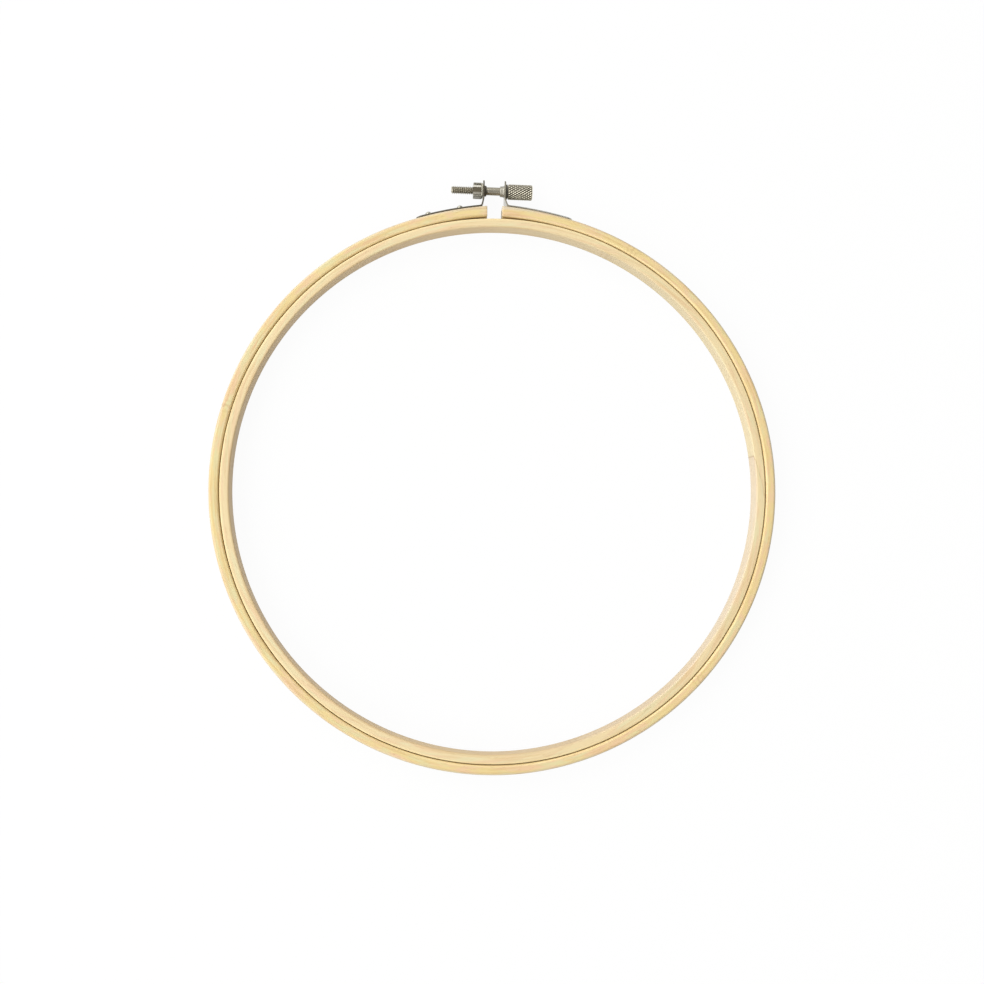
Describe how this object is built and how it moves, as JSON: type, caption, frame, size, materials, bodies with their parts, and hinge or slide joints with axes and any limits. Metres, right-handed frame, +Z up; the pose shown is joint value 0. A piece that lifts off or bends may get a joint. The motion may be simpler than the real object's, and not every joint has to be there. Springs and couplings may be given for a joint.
{
  "type": "embroidery hoop",
  "caption": "Round wooden embroidery hoop: a closed inner ring inside a split outer ring drawn together by a knurled screw clamp.",
  "frame": {"origin": "middle of the footprint, on the surface that the hoop lies on", "axes": "+Z up through the hoops, +Y towards the clamp, +X towards the knurled head of the screw"},
  "size_m": [0.2114, 0.2228, 0.0095],
  "materials": {
    "inner_bamboo": "sanded bamboo, pale, satin",
    "outer_bamboo": "sanded bamboo, a shade warmer, satin",
    "plated_steel": "nickel-plated steel, bright"
  },
  "bodies": {
    "outer_hoop": {"outer_hoop": "outer_bamboo", "nut_bracket": "plated_steel", "screw_bracket": "plated_steel", "nut_bracket_brad_1": "plated_steel", "nut_bracket_brad_2": "plated_steel", "screw_bracket_brad_1": "plated_steel", "screw_bracket_brad_2": "plated_steel", "nut_cage": "plated_steel", "square_nut": "plated_steel"},
    "inner_hoop": {"inner_hoop": "inner_bamboo"},
    "washer": {"washer": "plated_steel"},
    "screw": {"clamp_screw": "plated_steel"}
  },
  "joints": [
    {"name": "inner_hoop_lift", "type": "slide", "parent": "outer_hoop", "child": "inner_hoop", "axis": [0, 0, 1], "range_m": [0, 0.03]},
    {"name": "screw_travel", "type": "slide", "parent": "outer_hoop", "child": "washer", "axis": [0.9996, -0.0279, 0], "range_m": [0, 0.0105]},
    {"name": "screw_turn", "type": "hinge", "parent": "washer", "child": "screw", "pos_m": [0, 0.10729, 0.00475], "axis": [0.9996, -0.0279, 0], "range_deg": [0, 5400]}
  ],
  "couplings": [
    {"joint": "screw_turn", "follows": "screw_travel", "rad_per_m": 8976}
  ]
}
